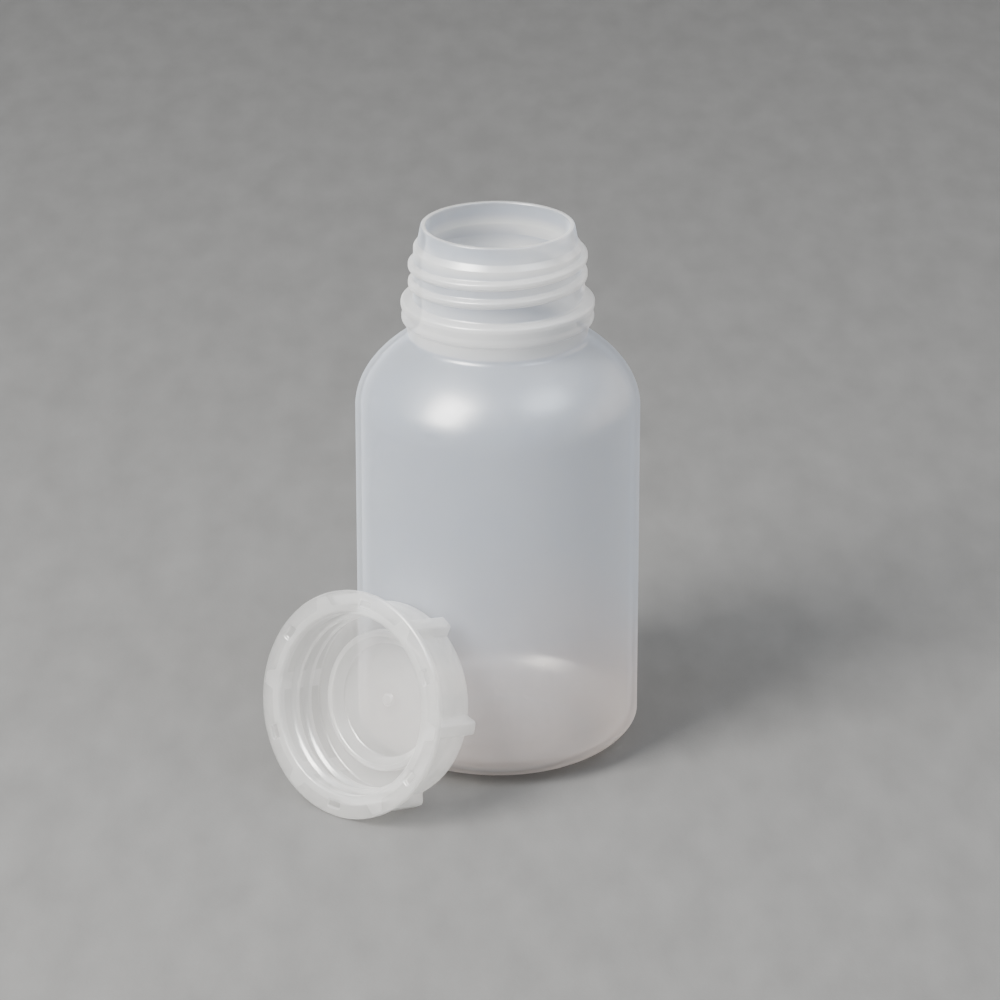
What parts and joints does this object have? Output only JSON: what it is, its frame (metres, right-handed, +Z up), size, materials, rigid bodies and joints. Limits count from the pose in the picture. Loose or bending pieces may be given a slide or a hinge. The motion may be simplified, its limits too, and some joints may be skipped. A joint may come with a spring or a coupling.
{
  "type": "reagent bottle",
  "caption": "Upright wide-neck plastic reagent bottle with a threaded neck, its ribbed screw cap taken off and standing on its rim against the bottle.",
  "frame": {"origin": "on the bottle's axis, in the plane that the bottle stands on; the recessed middle of the base is 0.6 mm above it", "axes": "+Z up along the bottle's axis; the cap stands in front (-Y) and to the left (-X) of the bottle"},
  "size_m": [0.0813, 0.0856, 0.1185],
  "materials": {
    "bottle_polyethylene": "milky translucent natural polyethylene, satin, blow moulded",
    "cap_polyethylene": "milky translucent natural polyethylene, satin, injection moulded"
  },
  "bodies": {
    "bottle": {"bottle": "bottle_polyethylene"},
    "cap": {"screw_cap": "cap_polyethylene"}
  },
  "joints": [
    {"name": "cap_lift", "type": "slide", "parent": "bottle", "child": "cap", "axis": [0, 0, 1], "range_m": [0, 0.16]}
  ]
}
